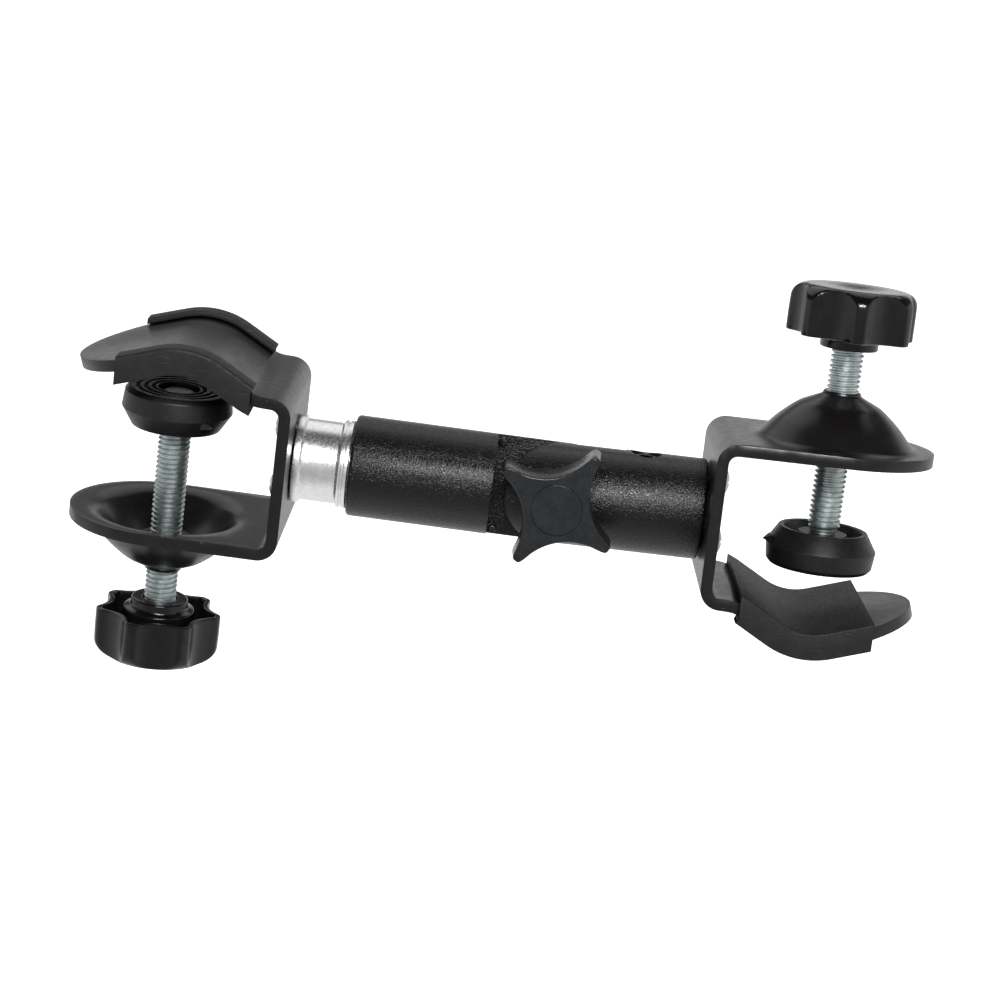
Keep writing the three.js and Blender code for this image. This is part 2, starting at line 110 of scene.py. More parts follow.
BARREL_RADIUS = 12.5
LEFT_WEB = -65.2
LEFT_BARREL_END = -51.0
RIGHT_BARREL_END = 36.1
STEP = 16.0
NECK_RADIUS = 10.1
FLANGE_RADIUS = 10.9
JOURNAL_RADIUS = 7.9
JOURNAL_BORE = 7.97
JOURNAL_END = -40.0
GRUB_SCREW_AT = 38.8
GRUB_SCREW_HOLE = 2.7
BOLT_HEAD_RADIUS = 6.1
NIB_AT = (14.6, 11.1)
WEB_SCREW_PITCH = 15.0
SET_SCREW_AT = 20.8
SET_SCREW_HOLE = 3.9
ELBOW_KNOB_FRONT = -23.5
ELBOW_KNOB_BACK = -13.6
ELBOW_TIP_RADIUS = 16.1
ELBOW_DIP_RADIUS = 8.2
ELBOW_TIP_WIDTH = 2.6
ELBOW_LOBE_ANGLE = 59.0
ELBOW_DRAFT = 0.25
CAP_RADIUS = 6.1

KNOB_TURN = {"left": 21.7, "right": 38.8}
FLASH_ANGLE = {"left": 132, "right": 170}

# metres: the floor lies this far under the part, so that the clamps swing clear of it at every pose
FLOOR_DROP = 0.12

# metres: the backdrop's round floor, its upturned edge and the wall's top
FLOOR_RADIUS = 2.6
FLOOR_FILLET = 1.2
WALL_LEAN = 0.9
WALL_TOP = 3.2

# the camera, in the arm's own frame: +X along the barrels from the elbow's pivot, +Y away
CAMERA_AT = (-14.52, -582.89, 110.03)
CAMERA_AIM = (-13.594, 0.0, -3.846)
CAMERA_ROLL = 7.642
CAMERA_LENS = 86.47

# ---- frames -----------------------------------------------------------------

JOINTS = {joint["name"]: joint for joint in frame["record"]["behaviour"]["joints"]}
PIVOT = Vector(JOINTS["elbow"]["pos_m"])


def placing(origin, x_axis, z_axis):
    """The matrix from a piece's own millimetres to the row's metres."""
    x = Vector(x_axis).normalized()
    z = Vector(z_axis).normalized()
    turn = Matrix((x, z.cross(x), z)).transposed().to_4x4()
    return Matrix.Translation(origin) @ turn @ Matrix.Scale(MM, 4)


def screw_axes(side):
    z = Vector(JOINTS[side + "_screw_turn"]["axis"]).normalized()
    return Vector(JOINTS[side + "_foot_tilt"]["axis"]).cross(z), z


def clamp_place(side):
    """A bracket's frame: +X out from its web, +Z towards its V-shaped arm."""
    x, z = screw_axes(side)
    reach = (Vector(JOINTS[side + "_screw_turn"]["pos_m"]) - PIVOT).dot(x)
    return placing(PIVOT + x * (reach - SCREW_REACH * MM), x, z)


def screw_place(side):
    """A clamp screw's frame: the origin is at the foot's back rim, +Z towards the jaw."""
    x, z = screw_axes(side)
    return placing(JOINTS[side + "_screw_turn"]["pos_m"], x, z)


def arm_place(along):
    """A frame at the elbow's pivot with +X along the given axis and +Y away from the knob."""
    return placing(PIVOT, along, Vector(along).cross(Vector((0, 1, 0))))


ARM = arm_place(JOINTS["neck_swivel"]["axis"])
RIGHT_ARM = arm_place(screw_axes("right")[0])
ALONG_X = Matrix.Rotation(math.pi / 2, 4, "Y")
ALONG_MINUS_Y = Matrix.Rotation(math.pi / 2, 4, "X")

# ---- mesh building ----------------------------------------------------------


def skin(rings, closed=False):
    """The vertices and faces of a surface over rings of points; one point closes an end."""
    verts, faces, spans = [], [], []
    for ring in rings:
        spans.append((len(verts), len(ring)))
        verts.extend(tuple(point) for point in ring)
    pairs = list(zip(spans, spans[1:]))
    if closed:
        pairs.append((spans[-1], spans[0]))
    for (first, count), (second, other) in pairs:
        size = max(count, other)
        for i in range(size):
            j = (i + 1) % size
            quad = [first + i % count, first + j % count, second + j % other, second + i % other]
            faces.append(list(dict.fromkeys(quad)))
    return verts, faces


def circle(radius, height, sides):
    if radius < 1e-6:
        return [(0, 0, height)]
    angles = np.arange(sides) * 2 * math.pi / sides
    return [(radius * math.cos(a), radius * math.sin(a), height) for a in angles]


def softened(points, steps=4):
    """A path of (a, b) or (a, b, radius) corners, each corner with a radius rounded by an arc."""
    path = []
    for i, point in enumerate(points):
        if len(point) < 3:
            path.append(tuple(point))
            continue
        corner = Vector(point[:2])
        back = (Vector(points[i - 1][:2]) - corner).normalized()
        ahead = (Vector(points[(i + 1) % len(points)][:2]) - corner).normalized()
        half = math.acos(max(-1.0, min(1.0, back.dot(ahead)))) / 2
        radius = point[2]
        centre = corner + (back + ahead).normalized() * radius / math.sin(half)
        start = corner + back * radius / math.tan(half) - centre
        end = corner + ahead * radius / math.tan(half) - centre
        sweep = math.atan2(start.x * end.y - start.y * end.x, start.dot(end))
        for step in range(steps + 1):
            spoke = Matrix.Rotation(sweep * step / steps, 2) @ start
            path.append(tuple(centre + spoke))
    return path


def lathe(points, sides=96, closed=False, steps=4):
    """A turned surface about Z from (radius, height[, fillet]) points."""
    return skin([circle(r, z, sides) for r, z in softened(points, steps)], closed)


def joined(*shapes):
    verts, faces = [], []
    for shape_verts, shape_faces in shapes:
        faces += [[len(verts) + i for i in face] for face in shape_faces]
        verts += shape_verts
    return verts, faces


def moved(shape, matrix):
    return [tuple(matrix @ Vector(point)) for point in shape[0]], shape[1]


def block(low, high):
    """A box between two opposite corners."""
    corners = [(x, y, z) for z in (low[2], high[2])
               for y in (low[1], high[1]) for x in (low[0], high[0])]
    faces = [(0, 2, 3, 1), (4, 5, 7, 6), (0, 1, 5, 4), (2, 6, 7, 3), (0, 4, 6, 2), (1, 3, 7, 5)]
    return corners, [list(face) for face in faces]


def raw_object(name, shape):
    mesh = bpy.data.meshes.new(name)
    mesh.from_pydata([tuple(p) for p in shape[0]], [], shape[1])
    work = bmesh.new()
    work.from_mesh(mesh)
    bmesh.ops.recalc_face_normals(work, faces=work.faces)
    work.to_mesh(mesh)
    work.free()
    obj = bpy.data.objects.new(name, mesh)
    bpy.context.scene.collection.objects.link(obj)
    return obj


def applied(obj):
    """The object's mesh with its modifiers worked in."""
    bpy.context.view_layer.update()
    graph = bpy.context.evaluated_depsgraph_get()
    mesh = bpy.data.meshes.new_from_object(obj.evaluated_get(graph))
    obj.modifiers.clear()
    obj.data = mesh


def merge(obj, other):
    """Adds the other object's mesh to obj as a separate shell."""
    work = bmesh.new()
    work.from_mesh(obj.data)
    work.from_mesh(other.data)
    work.to_mesh(obj.data)
    work.free()
    bpy.data.objects.remove(other)


def cut(obj, shape, operation="DIFFERENCE"):
    """Takes the shape out of obj, or keeps only what they share."""
    tool = raw_object("tool", shape)
    boolean = obj.modifiers.new("cut", "BOOLEAN")
    boolean.operation = operation
    boolean.solver = "EXACT"
    boolean.object = tool
    applied(obj)
    bpy.data.objects.remove(tool)


def bevelled(obj, width, segments=3, angle=40):
    """Rounds the edges that turn by more than the angle."""
    bevel = obj.modifiers.new("edges", "BEVEL")
    bevel.width = width
    bevel.segments = segments
    bevel.limit_method = "ANGLE"
    bevel.angle_limit = math.radians(angle)
    applied(obj)


def dress(mesh, finish, unit=1.0):
    """Gives a mesh its finish and what the finish reads, each point's place in millimetres."""
    coordinates = np.zeros(len(mesh.vertices) * 3, np.float32)
    mesh.vertices.foreach_get("co", coordinates)
    own = mesh.attributes.new("own", "FLOAT_VECTOR", "POINT")
    own.data.foreach_set("vector", coordinates / unit)
    mesh.materials.clear()
    mesh.materials.append(FINISHES[finish])


def settle(obj, place, body, finish, stands_for, sharp=32):
    mesh = obj.data
    dress(mesh, finish)
    mesh.transform(place)
    mesh.shade_smooth()
    mesh.set_sharp_from_angle(angle=math.radians(sharp))
    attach(obj, body)
    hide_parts(stands_for)


# ---- finishes ---------------------------------------------------------------


class Finish:
    """A node material driven by the piece's own coordinates in millimetres."""

    def __init__(self, title, **values):
        self.material = bpy.data.materials.new(title)
        self.material.use_nodes = True
        self.tree = self.material.node_tree
        self.shader = self.tree.nodes["Principled BSDF"]
        self.own = self.node("ShaderNodeAttribute")
        self.own.attribute_name = "own"
        for name, setting in values.items():
            socket = "IOR" if name == "ior" else name.replace("_", " ").title()
            self.shader.inputs[socket].default_value = setting

    def node(self, kind, **settings):
        made = self.tree.nodes.new(kind)
        for key, value in settings.items():
            setattr(made, key, value)
        return made

    def link(self, source, target):
        self.tree.links.new(source, target)

    def stretched(self, factors):
        """The piece's own coordinates, each multiplied by a factor."""
        scale = self.node("ShaderNodeVectorMath", operation="MULTIPLY")
        self.link(self.own.outputs["Vector"], scale.inputs[0])
        scale.inputs[1].default_value = factors
        return scale.outputs[0]

    def noise(self, scale, detail=3.0, roughness=0.55, vector=None):
        """Noise with about `scale` features in each millimetre."""
        made = self.node("ShaderNodeTexNoise")
        made.inputs["Scale"].default_value = scale
        made.inputs["Detail"].default_value = detail
        made.inputs["Roughness"].default_value = roughness
        self.link(vector or self.own.outputs["Vector"], made.inputs["Vector"])
        return made.outputs["Fac"]

    def ramped(self, source, low, high, to_low=0.0, to_high=1.0):
        """source between low and high, mapped smoothly to between to_low and to_high."""
        made = self.node("ShaderNodeMapRange", interpolation_type="SMOOTHSTEP")
        self.link(source, made.inputs["Value"])
        made.inputs["From Min"].default_value = low
        made.inputs["From Max"].default_value = high
        made.inputs["To Min"].default_value = to_low
        made.inputs["To Max"].default_value = to_high
        return made.outputs["Result"]

    def math(self, operation, first, second):
        made = self.node("ShaderNodeMath", operation=operation)
        for socket, value in zip(made.inputs, (first, second)):
            if isinstance(value, (int, float)):
                socket.default_value = value
            else:
                self.link(value, socket)
        return made.outputs[0]

    def mixed(self, factor, first, second):
        """A colour between two colours."""
        made = self.node("ShaderNodeMix", data_type="RGBA")
        self.link(factor, made.inputs[0])
        made.inputs[6].default_value = (*first, 1)
        made.inputs[7].default_value = (*second, 1)
        return made.outputs[2]

    def blended(self, factor, first, second):
        """A colour between another node's colour and a plain one."""
        made = self.node("ShaderNodeMix", data_type="RGBA")
        self.link(factor, made.inputs[0])
        self.link(first, made.inputs[6])
        made.inputs[7].default_value = (*second, 1)
        return made.outputs[2]

    def colour(self, output):
        self.link(output, self.shader.inputs["Base Color"])

    def roughness(self, output):
        self.link(output, self.shader.inputs["Roughness"])

    def bump(self, height, depth, strength=1.0):
        """Adds relief of up to `depth` millimetres to the surface."""
        made = self.node("ShaderNodeBump")
        made.inputs["Strength"].default_value = strength
        made.inputs["Distance"].default_value = depth * MM
        self.link(height, made.inputs["Height"])
        if self.shader.inputs["Normal"].is_linked:
            self.link(self.shader.inputs["Normal"].links[0].from_socket, made.inputs["Normal"])
        self.link(made.outputs["Normal"], self.shader.inputs["Normal"])


def black_paint():
    """Satin black paint, lighter in a few places along its edges: partly chips to bare steel,
    partly a painted glint where the edges catch the light.
    """
    finish = Finish("black_paint", ior=1.4, coat_weight=0.12, coat_roughness=0.18)
    dust = finish.ramped(finish.noise(0.12, 3.0), 0.35, 0.75)
    paint = finish.mixed(dust, (0.0042, 0.0034, 0.0034), (0.0068, 0.0057, 0.0058))
    edge = finish.node("ShaderNodeNewGeometry").outputs["Pointiness"]
    places = finish.math("MULTIPLY", finish.ramped(finish.noise(0.09, 1.0), 0.52, 0.6),
                         finish.ramped(finish.noise(0.8, 4.0, 0.7), 0.65, 0.68))
    # light specks on the convex edges: partly paint chipped to bare steel, partly a painted
    # highlight for the edges' glint
    chips_and_painted_glint = finish.math("MULTIPLY", finish.ramped(edge, 0.565, 0.59), places)
    finish.colour(finish.blended(chips_and_painted_glint, paint, (0.16, 0.15, 0.14)))
    finish.roughness(finish.ramped(finish.noise(0.5, 3.0), 0.3, 0.7, 0.29, 0.36))
    finish.bump(finish.noise(0.25, 1.0), 0.03)
    finish.bump(finish.noise(6.0, 2.0), 0.001)
    return finish.material


def grained_paint():
    """Powder coat with a fine pebble grain that glitters where it faces a lamp."""
    finish = Finish("grained_paint", ior=1.42)
    grain = finish.noise(3.1, 1.0, 0.5)
    tops = finish.ramped(grain, 0.35, 0.7)
    finish.colour(finish.mixed(tops, (0.002, 0.0018, 0.0019), (0.005, 0.0047, 0.005)))
    finish.roughness(finish.ramped(grain, 0.35, 0.65, 0.34, 0.18))
    finish.bump(finish.ramped(grain, 0.28, 0.72), 0.055)
    return finish.material


def pad_rubber():
    finish = Finish("pad_rubber", ior=1.38)
    cloud = finish.ramped(finish.noise(0.25, 5.0), 0.3, 0.7)
    finish.colour(finish.mixed(cloud, (0.006, 0.0062, 0.007), (0.0105, 0.0108, 0.012)))
    finish.roughness(finish.ramped(finish.noise(1.5, 4.0), 0.3, 0.7, 0.5, 0.66))
    finish.bump(finish.noise(7.0, 3.0), 0.015)
    scratch = finish.noise(1.0, 2.0, 0.5, finish.stretched((0.1, 1.4, 1.4)))
    finish.bump(finish.ramped(scratch, 0.6, 0.68), 0.04)
    speck = finish.ramped(finish.noise(1.3, 0.0), 0.78, 0.8)
    finish.bump(speck, 0.1)
    return finish.material


def glossy_plastic():
    finish = Finish("glossy_plastic", ior=1.42)
    cloud = finish.ramped(finish.noise(0.3, 3.0), 0.3, 0.7)
    finish.colour(finish.mixed(cloud, (0.003, 0.003, 0.0034), (0.0055, 0.0055, 0.006)))
    finish.roughness(finish.ramped(finish.noise(1.4, 4.0), 0.35, 0.7, 0.12, 0.22))
    finish.bump(finish.noise(0.4, 2.0), 0.04)
    finish.bump(finish.noise(3.2, 2.0), 0.018)
    return finish.material


def satin_plastic(name, low, high, smooth, rough):
    finish = Finish(name, ior=1.42)
    cloud = finish.ramped(finish.noise(0.4, 4.0), 0.3, 0.7)
    finish.colour(finish.mixed(cloud, low, high))
    finish.roughness(finish.ramped(finish.noise(1.2, 4.0), 0.3, 0.7, smooth, rough))
    finish.bump(finish.noise(3.6, 3.0), 0.02)
    return finish.material


def zinc_steel():
    finish = Finish("zinc_steel", metallic=1.0)
    cloud = finish.ramped(finish.noise(0.5, 3.0), 0.35, 0.7)
    finish.colour(finish.mixed(cloud, (0.5, 0.56, 0.56), (0.7, 0.745, 0.735)))
    finish.roughness(finish.ramped(finish.noise(1.5, 4.0), 0.3, 0.7, 0.33, 0.45))
    finish.bump(finish.noise(4.0, 2.0), 0.008)
    return finish.material


def blackened_steel():
    finish = Finish("blackened_steel", metallic=1.0)
    cloud = finish.ramped(finish.noise(0.9, 3.0), 0.35, 0.7)
    finish.colour(finish.mixed(cloud, (0.045, 0.045, 0.05), (0.08, 0.08, 0.085)))
    finish.roughness(finish.ramped(finish.noise(1.5, 4.0), 0.3, 0.7, 0.22, 0.34))
    finish.bump(finish.noise(4.0, 2.0), 0.008)
    return finish.material


def turned_aluminium():
    """Lathe-turned aluminium: rings round the axis spread its reflections along it."""
    finish = Finish("turned_aluminium", metallic=1.0)
    cloud = finish.ramped(finish.noise(0.7, 4.0), 0.35, 0.7)
    finish.colour(finish.mixed(cloud, (0.82, 0.82, 0.825), (0.92, 0.92, 0.925)))
    finish.roughness(finish.ramped(finish.noise(2.2, 5.0), 0.3, 0.7, 0.24, 0.36))
    rings = finish.noise(1.0, 1.0, 0.5, finish.stretched((0.05, 0.05, 2.6)))
    finish.bump(rings, 0.008)
    finish.bump(finish.noise(0.5, 2.0), 0.012)
    return finish.material


FINISHES = {
    "black_paint": black_paint(),
    "grained_paint": grained_paint(),
    "pad_rubber": pad_rubber(),
    "glossy_plastic": glossy_plastic(),
    "foot_plastic": satin_plastic("foot_plastic", (0.005, 0.005, 0.0053), (0.008, 0.008, 0.0085),
                                  0.34, 0.46),
    "knob_plastic": satin_plastic("knob_plastic", (0.009, 0.0098, 0.011), (0.015, 0.016, 0.018),
                                  0.2, 0.3),
    "zinc_steel": zinc_steel(),
    "blackened_steel": blackened_steel(),
    "turned_aluminium": turned_aluminium(),
}

KEPT_NODES = {
    "left_foot_washer": "foot_plastic",
    "right_foot_washer": "foot_plastic",
    "set_screw": "blackened_steel",
    "neck_grub_screw": "zinc_steel",
    "elbow_bolt": "zinc_steel",
    "elbow_nut": "zinc_steel",
    "elbow_washer": "zinc_steel",
}

# ---- bracket ----------------------------------------------------------------

HALF_STRIP = STRIP_THICK / 2
HALF_WIDTH = STRIP_WIDTH / 2
ARM_MIDDLE = DOMED_ARM_LEVEL + HALF_STRIP


def across_rows(count=29):
    """Places across the strip, from -1 to 1, closer together near its edges."""
    even = [2 * i / (count - 1) - 1 for i in range(count)]
    return [math.sin(math.pi / 2 * place) * 0.35 + place * 0.65 for place in even]


def through(points, steps=6):
    """A smooth curve through the points (Catmull-Rom)."""
    places = [Vector(point) for point in points]
    places = [2 * places[0] - places[1], *places, 2 * places[-1] - places[-2]]
    curve = []
    for a, b, c, d in zip(places, places[1:], places[2:], places[3:]):
        for i in range(steps):
            t = i / steps
            curve.append(b + ((c - a) * t + (2 * a - 5 * b + 4 * c - d) * t ** 2
                              + (3 * b - a - 3 * c + d) * t ** 3) / 2)
    return [tuple(point) for point in curve] + [tuple(places[-2])]


def dome_profile():
    """The dome's outer surface as (radius, height above the arm) points, out from its top."""
    return through([(5.6, DOME_HEIGHT), (8.0, 10.2), (10.6, 8.8), (14.8, 5.2), (18.0, 1.6),
                    (19.1, 0.5), (DOME_RADIUS, 0.0)], 5)


def arm_path(last, steps):
    """The strip's middle line, from the V-shaped arm's tip through its bends to the last points."""
    corners = [TIP, (*CREST, CREST_RADIUS), (*KNEE, KNEE_RADIUS), *last]
    return [Vector(point) for point in softened(corners, steps)]


def at_reach(curve, x):
    """The point of the V-shaped arm's middle line at distance x from the web."""
    for a, b in zip(curve, curve[1:]):
        if b.x <= x <= a.x:
            return a.lerp(b, (x - a.x) / (b.x - a.x))
    return curve[0]


def channel(reach, across):
    """How far the V-shaped arm is sunk at a distance from the web; it levels out at both ends."""
    on_arm = min(1.0, max(0.0, (reach - 3) / 9)) * min(1.0, max(0.0, (TIP[0] - 5 - reach) / 12))
    return CHANNEL_DEPTH * on_arm * math.cos(math.pi / 2 * across) ** 2


def strip_sections(curve):
    """(middle point, half width) pairs along the strip, from the round tip to the domed arm."""
    sections = []
    for step in range(17, 0, -1):
        angle = math.radians(step * 5.2)
        point = at_reach(curve, ARM_END_CENTRE + HALF_WIDTH * math.sin(angle))
        sections.append((point, HALF_WIDTH * math.cos(angle)))
    sections.append((at_reach(curve, ARM_END_CENTRE), HALF_WIDTH))
    return sections + [(point, HALF_WIDTH) for point in curve if point.x < ARM_END_CENTRE - 0.5]


def domed_arm_outline(rows):
    """The domed arm's outline as (x, y) points, beginning with the strip's last section."""
    start = HALF_STRIP + BEND_RADIUS
    straight = [start + (ARM_END_CENTRE - start) * i / 16 for i in range(1, 16)]
    outline = [(start, HALF_WIDTH * row) for row in rows]
    outline += [(x, HALF_WIDTH) for x in straight]
    outline += [(ARM_END_CENTRE + HALF_WIDTH * math.sin(a), HALF_WIDTH * math.cos(a))
                for a in map(math.radians, range(0, 181, 5))]
    return outline + [(x, -HALF_WIDTH) for x in reversed(straight)]


def domed_arm_rings(outline):
    """The domed arm's middle surface, as rings from the dome's hole out to the outline."""
    profile = dome_profile()
    angles = [math.atan2(y, x - SCREW_REACH) for x, y in outline]
    rings = []
    for i, (radius, height) in enumerate(profile):
        before = profile[max(i - 1, 0)]
        after = profile[min(i + 1, len(profile) - 1)]
        along = Vector((after[0] - before[0], after[1] - before[1])).normalized()
        radius += along.y * HALF_STRIP
        level = DOMED_ARM_LEVEL - (height - along.x * HALF_STRIP)
        rings.append([(SCREW_REACH + radius * math.cos(a), radius * math.sin(a), level)
                      for a in angles])
    last = rings[-1]
    for blend in (0.3, 0.62, 1.0):
        rings.append([(px + (ox - px) * blend, py + (oy - py) * blend, ARM_MIDDLE)
                      for (px, py, _), (ox, oy) in zip(last, outline)])
    return rings


def bracket_sheet():
    """The middle surface of the bent strip, from the tip of the V-shaped arm to the domed arm."""
    rows = across_rows()
    count = len(rows)
    curve = arm_path([(HALF_STRIP, WEB_TOP, BEND_RADIUS), (HALF_STRIP, ARM_MIDDLE, BEND_RADIUS),
                      (ARM_END_CENTRE, ARM_MIDDLE)], 12)[:-1]
    sections = strip_sections(curve)
    tip = at_reach(curve, ARM_END_CENTRE + HALF_WIDTH)
    verts = [(tip.x, 0.0, tip.y)]
    for s, (point, width) in enumerate(sections):
        before = sections[max(s - 1, 0)][0]
        after = sections[min(s + 1, len(sections) - 1)][0]
        normal = Vector((before.y - after.y, after.x - before.x)).normalized()
        for row in rows:
            sink = channel(point.x, row)
            verts.append((point.x + normal.x * sink, width * row, point.y + normal.y * sink))
    faces = [[0, 1 + i, 2 + i] for i in range(count - 1)]
    for s in range(len(sections) - 1):
        for i in range(count - 1):
            a = 1 + s * count + i
            faces.append([a, a + count, a + count + 1, a + 1])

    # the domed arm's last ring shares the strip's last section
    rings = domed_arm_rings(domed_arm_outline(rows))
    size = len(rings[0])
    shared = list(range(len(verts) - count, len(verts)))
    first = len(verts)
    for ring in rings[:-1]:
        verts += ring
    outer = shared + list(range(len(verts), len(verts) + size - count))
    verts += rings[-1][count:]
    for r in range(len(rings) - 1):
        inner_ids = [first + r * size + i for i in range(size)]
        outer_ids = outer if r == len(rings) - 2 else [i + size for i in inner_ids]
        for i in range(size):
            j = (i + 1) % size
            faces.append([inner_ids[i], inner_ids[j], outer_ids[j], outer_ids[i]])
    return verts, faces


def bracket(side, body):
    obj = raw_object(side + "_bracket_strip", bracket_sheet())
    thick = obj.modifiers.new("thick", "SOLIDIFY")
    thick.thickness = STRIP_THICK
    thick.offset = 0
    thick.use_even_offset = True
    applied(obj)
    bevelled(obj, EDGE_RADIUS, 3, 55)
    settle(obj, clamp_place(side), body, "black_paint", side + "_bracket", 50)


def bush(side, body):
    """The threaded bush's rim, standing out of the dome's hole."""
    top = DOME_HEIGHT + 1.3
    profile = [(4.15, 4.0), (6.4, 4.0), (7.9, 9.8), (6.3, 11.0, 0.6), (4.75, 11.75, 0.9),
               (4.55, top, 0.3), (4.15, top, 0.1)]
    shape = lathe(profile, 72, closed=True)
    flip = Matrix.Translation((SCREW_REACH, 0, DOMED_ARM_LEVEL)) @ Matrix.Rotation(math.pi, 4, "X")
    obj = raw_object(side + "_dome_bush", moved(shape, flip))
    settle(obj, clamp_place(side), body, "black_paint", side + "_threaded_bush")


# ---- jaw pad ----------------------------------------------------------------


def pad_section():
    """The pad's section across the strip, as (across, towards the foot) points."""
    bare = HALF_STRIP + FIT_GAP
    inner = HALF_WIDTH + FIT_GAP
    outer = inner + PAD_WALL
    lip = inner - PAD_LIP_WIDTH
    low = bare + PAD_SLAB
    high = -bare - PAD_LIP
    return softened([(-outer, low, 0.35), (outer, low, 0.35),
                     (outer, high, 0.8), (lip, high, 0.5), (lip, -bare, 0.3),
                     (inner, -bare, 0.2), (inner, bare, 0.2),
                     (-inner, bare, 0.2), (-inner, -bare, 0.2),
                     (-lip, -bare, 0.3), (-lip, high, 0.5), (-outer, high, 0.8)])


def jaw_pad(side, body):
    section = pad_section()
    path = arm_path([(HALF_STRIP, WEB_TOP)], 16)
    dense = []
    for a, b in zip(path, path[1:]):
        parts = max(1, round((b - a).length / 1.2))
        dense += [a.lerp(b, i / parts) for i in range(parts)]
    dense.append(path[-1])
    inside = [p for p in dense if PAD_START + 0.6 < p.x < PAD_END - 0.6]
    stations = [at_reach(dense, PAD_END)] + inside + [at_reach(dense, PAD_START)]
    rings = []
    for i, point in enumerate(stations):
        before = stations[max(i - 1, 0)]
        after = stations[min(i + 1, len(stations) - 1)]
        along = (after - before).normalized()
        normal = Vector((-along.y, along.x))
        if i in (0, len(stations) - 1):
            # the ends are cut upright, not square to the rubber
            normal = Vector((0, -1)) / max(abs(normal.y), 0.5)
        rings.append([(point.x + normal.x * b, a, point.y + normal.y * b) for a, b in section])
    verts, faces = skin(rings)
    size = len(section)
    faces.append(list(range(size)))
    faces.append(list(range(len(verts) - 1, len(verts) - 1 - size, -1)))
    obj = raw_object(side + "_pad_channel", (verts, faces))
    bevelled(obj, 0.18, 2, 60)
    settle(obj, clamp_place(side), body, "pad_rubber", side + "_jaw_pad", 40)


# ---- clamp screw ------------------------------------------------------------


def thread(low, high, sides=48, samples=10):
    """A rolled M8 thread from low to high; its ends are left open."""
    rows = int((high - low) / THREAD_PITCH * samples)
    verts, faces = [], []
    for k in range(rows + samples + 1):
        for j in range(sides):
            flank = 0.5 + 0.5 * math.cos(2 * math.pi * (k % samples) / samples)
            # the crests and roots are cut flat
            form = min(1.0, max(0.0, flank * 1.35 - 0.12))
            z = low + THREAD_PITCH * (k / samples + j / sides - 1)
            fade = min(1.0, max(0.0, (high - z) / (0.8 * THREAD_PITCH)))
            radius = THREAD_RADIUS - THREAD_DEPTH + THREAD_DEPTH * form * fade
            angle = 2 * math.pi * j / sides
            height = min(max(z, low), high)
            verts.append((radius * math.cos(angle), radius * math.sin(angle), height))
    for k in range(rows + samples):
        for j in range(sides):
            a = k * sides + j
            b = a + 1 if j < sides - 1 else (k + samples) * sides
            if b + sides >= len(verts):
                continue
            faces.append([a, b, b + sides, a + sides])
    return verts, faces


def screw(side, body):
    low = -THREAD_LENGTH - COLLAR_HEIGHT - KNOB_HEIGHT + 4
    obj = raw_object(side + "_clamp_thread", thread(low, 0.1))
    work = bmesh.new()
    work.from_mesh(obj.data)
    bmesh.ops.holes_fill(work, edges=[e for e in work.edges if e.is_boundary], sides=0)
    work.to_mesh(obj.data)
    work.free()
    pin = lathe([(0, -1.5), (3.3, -1.5), (3.4, 0.35, 0.2), (PIN_RADIUS, 0.7), (PIN_RADIUS, 7.9),
                 (4.2, 7.9, 0.1), (4.2, 8.4, 0.4), (3.2, 8.9, 0.3), (0, 8.9)], 64)
    merge(obj, raw_object("pin", pin))
    settle(obj, screw_place(side), body, "zinc_steel", side + "_clamp_screw", 40)


# ---- lobed knobs ------------------------------------------------------------


def scalloped(ridge, dip, half_ridge, lobes, turn, sides):
    """The radius of a lobed outline at each angle: narrow ridges with round hollows between."""
    pitch = 2 * math.pi / lobes
    edge = pitch / 2 - half_ridge
    chord = (ridge * math.cos(edge), ridge * math.sin(edge))
    centre = (chord[0] ** 2 + chord[1] ** 2 - dip * dip) / (2 * (chord[0] - dip))
    radius = centre - dip
    values = []
    for i in range(sides):
        angle = 2 * math.pi * i / sides - turn
        off = abs((angle % pitch) - pitch / 2)
        if off >= edge:
            values.append(ridge)
        else:
            inside = max(radius * radius - (centre * math.sin(off)) ** 2, 0.0)
            values.append(centre * math.cos(off) - math.sqrt(inside))
    return np.array(values)


def eased(values, reach):
    """The values averaged round the circle over `reach` neighbours each way, twice."""
    for _ in range(2):
        values = sum(np.roll(values, shift) for shift in range(-reach, reach + 1)) / (2 * reach + 1)
    return values


def ring_of(radii, height):
    """A ring of points about Z with a radius for each of its evenly spaced angles."""
    angles = np.arange(len(radii)) * 2 * math.pi / len(radii)
    return [(r * math.cos(a), r * math.sin(a), height) for r, a in zip(radii, angles)]


def lowest_of(first, second, softness):
    """A smooth minimum of two radii."""
    blend = np.clip(0.5 + 0.5 * (second - first) / softness, 0, 1)
    return second * (1 - blend) + first * blend - softness * blend * (1 - blend)


